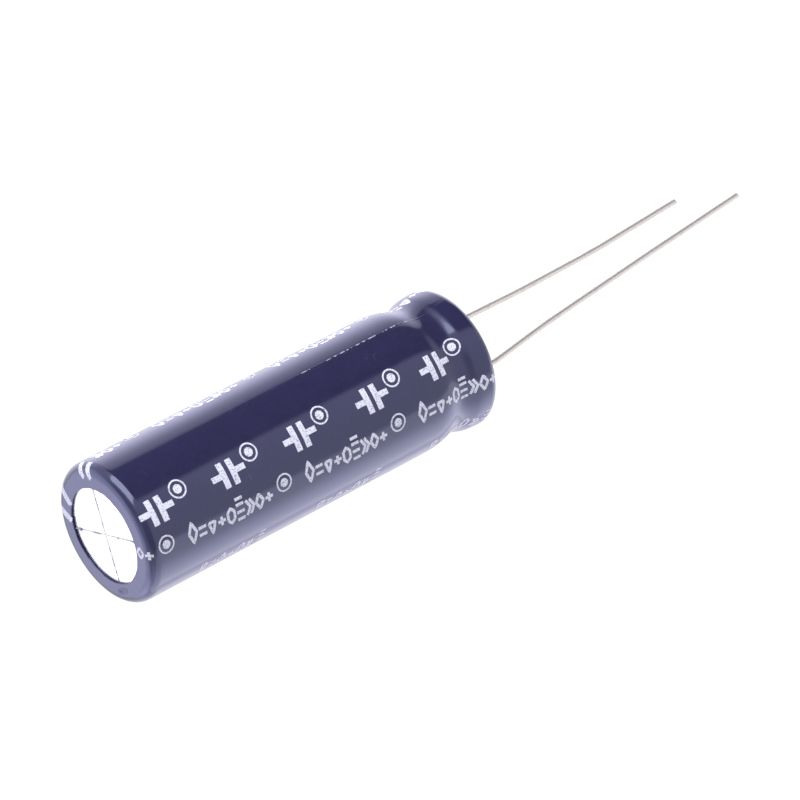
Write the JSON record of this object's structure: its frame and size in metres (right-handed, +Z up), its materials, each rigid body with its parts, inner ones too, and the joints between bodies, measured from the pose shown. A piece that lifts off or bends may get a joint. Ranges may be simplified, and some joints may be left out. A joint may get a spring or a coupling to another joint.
{
  "type": "supercapacitor",
  "caption": "Cylindrical radial-lead supercapacitor: sleeved aluminium can with a rolled bead near the open end, a vent-scored closed end and wire leads for soldering to a board.",
  "frame": {"origin": "on the seating plane, midway between the two leads", "axes": "+Z up through the can to its closed end; the leads leave along -Z in the XZ plane, the positive one at -X"},
  "size_m": [0.0104, 0.0104, 0.0599],
  "materials": {
    "sleeve": "glossy shrink film",
    "can": "bright drawn aluminium",
    "bung": "matt moulded rubber",
    "winding": "carbon-coated foil and separator",
    "tape": "polyimide tape",
    "tab": "plain aluminium",
    "lead": "tinned wire"
  },
  "bodies": {
    "root": {"sleeve": "sleeve", "can": "can", "rubber_bung": "bung", "winding": "winding", "winding_tape": "tape", "positive_tab": "tab", "negative_tab": "tab", "positive_lead": "lead", "negative_lead": "lead"}
  },
  "joints": []
}
